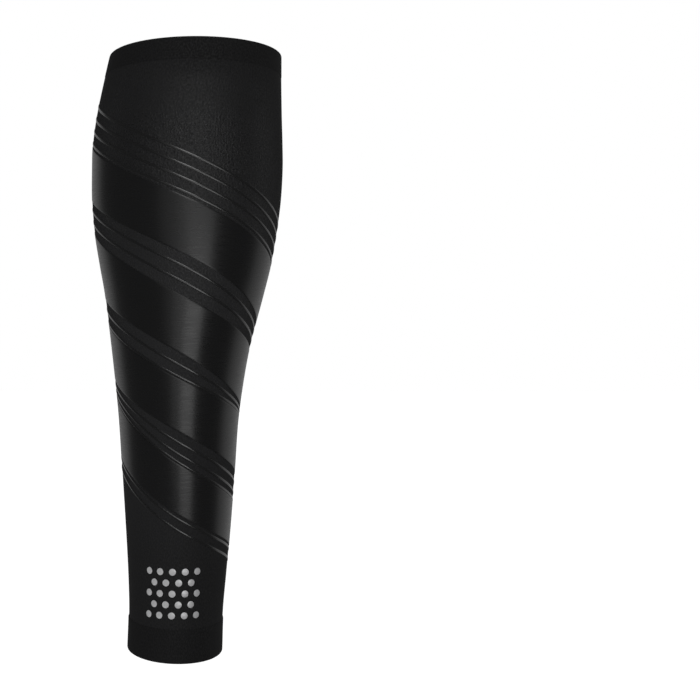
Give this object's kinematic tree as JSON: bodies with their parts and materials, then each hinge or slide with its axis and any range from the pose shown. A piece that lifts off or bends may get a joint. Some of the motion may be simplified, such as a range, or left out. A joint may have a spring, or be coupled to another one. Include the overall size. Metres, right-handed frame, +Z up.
{
  "type": "calf compression sleeve",
  "caption": "Footless knitted calf compression sleeve in its worn form, with smooth film panels and thin lines spiralling down the leg between two folded hems.",
  "frame": {"origin": "middle of the leg at the widest part of the calf, where the sleeve sits; the leg itself is not part of the object", "axes": "+Z up the leg towards the knee, -Y towards the shin, +X to the side that the spiral bands run down to over the shin"},
  "size_m": [0.1102, 0.1155, 0.3408],
  "materials": {
    "knit": "matte fine-ribbed elastic knit, black",
    "folded_knit": "matte knit folded double into a hem, black",
    "film": "smooth elastic film bonded to the knit, satin gloss black",
    "film_line": "narrow bonded film line, satin gloss black",
    "tape": "flat bonded seam tape, dull black",
    "reflective": "silver-grey reflective print dots"
  },
  "bodies": {
    "root": {"knit_tube": "knit", "knee_hem": "folded_knit", "ankle_hem": "folded_knit", "seam_tape": "tape", "film_panel_1": "film", "film_panel_2": "film", "film_panel_3": "film", "film_panel_4": "film", "band_1_line_1": "film_line", "band_1_line_2": "film_line", "band_1_line_3": "film_line", "band_1_line_4": "film_line", "band_2_line_1": "film_line", "band_2_line_2": "film_line", "band_3_line_1": "film_line", "band_3_line_2": "film_line", "band_4_line_1": "film_line", "band_4_line_2": "film_line", "band_4_line_3": "film_line", "band_5_line_1": "film_line", "band_5_line_2": "film_line", "reflective_dot_1_1": "reflective", "reflective_dot_1_2": "reflective", "reflective_dot_1_3": "reflective", "reflective_dot_1_4": "reflective", "reflective_dot_1_5": "reflective", "reflective_dot_2_1": "reflective", "reflective_dot_2_2": "reflective", "reflective_dot_2_3": "reflective", "reflective_dot_2_4": "reflective", "reflective_dot_3_1": "reflective", "reflective_dot_3_2": "reflective", "reflective_dot_3_3": "reflective", "reflective_dot_3_4": "reflective", "reflective_dot_3_5": "reflective", "reflective_dot_4_1": "reflective", "reflective_dot_4_2": "reflective", "reflective_dot_4_3": "reflective", "reflective_dot_4_4": "reflective", "reflective_dot_5_1": "reflective", "reflective_dot_5_2": "reflective", "reflective_dot_5_3": "reflective", "reflective_dot_5_4": "reflective", "reflective_dot_5_5": "reflective"}
  },
  "joints": []
}
